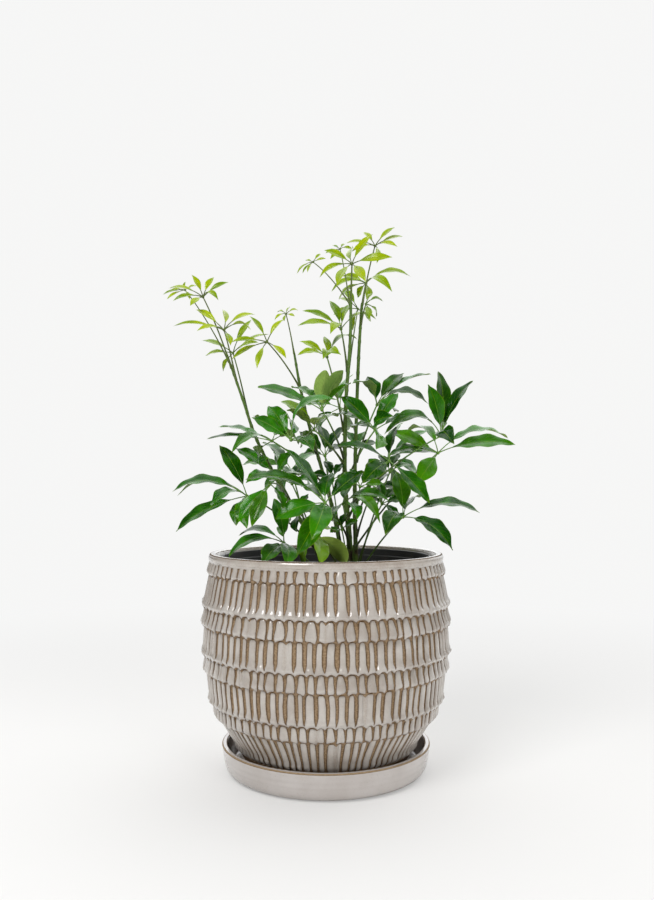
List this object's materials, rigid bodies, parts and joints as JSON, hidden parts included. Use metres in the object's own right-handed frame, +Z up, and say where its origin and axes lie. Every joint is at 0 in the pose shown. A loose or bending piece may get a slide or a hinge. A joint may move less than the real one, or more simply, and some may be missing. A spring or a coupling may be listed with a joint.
{
  "type": "potted umbrella plant",
  "caption": "Umbrella plant with palmate leaves on woody canes, in a round carved stoneware pot that stands on its saucer.",
  "frame": {"origin": "on the ground under the pot's axis, at the middle of the saucer's flat underside", "axes": "+Z up along the pot's axis; the front, as seen in the picture, faces -Y; +X to the right seen from the front"},
  "size_m": [0.359, 0.2803, 0.5468],
  "materials": {
    "saucer_glaze": "plain warm grey glaze with a tan line at the rim",
    "pot_glaze": "glossy pale grey glaze over carved petals, matt brown clay in the grooves",
    "grower_plastic": "satin charcoal plastic",
    "potting_mix": "crumbly dark potting mix",
    "cane_bark": "brown bark low down, green higher up",
    "leaf_young": "soft satin yellow green",
    "leaf_mature": "glossy deep green"
  },
  "bodies": {
    "root": {"saucer": "saucer_glaze", "pot": "pot_glaze", "grower_pot": "grower_plastic", "soil": "potting_mix", "cane_trunk": "cane_bark", "cane_second": "cane_bark", "cane_middle": "cane_bark", "cane_left": "cane_bark", "leaf_left_tip": "leaf_young", "leaf_left_high": "leaf_young", "leaf_left_upper": "leaf_mature", "leaf_left_lower": "leaf_mature", "leaf_centre_tip": "leaf_young", "leaf_centre_high": "leaf_young", "leaf_right_tip": "leaf_young", "leaf_right_bud": "leaf_young", "leaf_right_crown": "leaf_mature", "leaf_right_top": "leaf_mature", "leaf_right_high": "leaf_mature", "leaf_right_small": "leaf_mature", "leaf_right_inner": "leaf_mature", "leaf_mid_high": "leaf_mature", "leaf_mid_small": "leaf_mature", "leaf_mid_pair": "leaf_mature", "leaf_mid_olive": "leaf_mature", "leaf_mid_bright": "leaf_mature", "leaf_mid_left": "leaf_mature", "leaf_back_centre": "leaf_mature", "leaf_fan_high": "leaf_mature", "leaf_fan_mid": "leaf_mature", "leaf_right_fan": "leaf_mature", "leaf_right_wide": "leaf_mature", "leaf_right_mid": "leaf_mature", "leaf_right_low": "leaf_mature", "leaf_centre_low": "leaf_mature", "leaf_right_back": "leaf_mature", "leaf_low_front": "leaf_mature", "leaf_low_left": "leaf_mature", "leaf_left_wide": "leaf_mature", "leaf_left_inner": "leaf_mature", "leaf_low_pale": "leaf_mature", "leaf_back_left": "leaf_mature", "leaf_back_right": "leaf_mature", "leaf_back_high": "leaf_mature"}
  },
  "joints": []
}
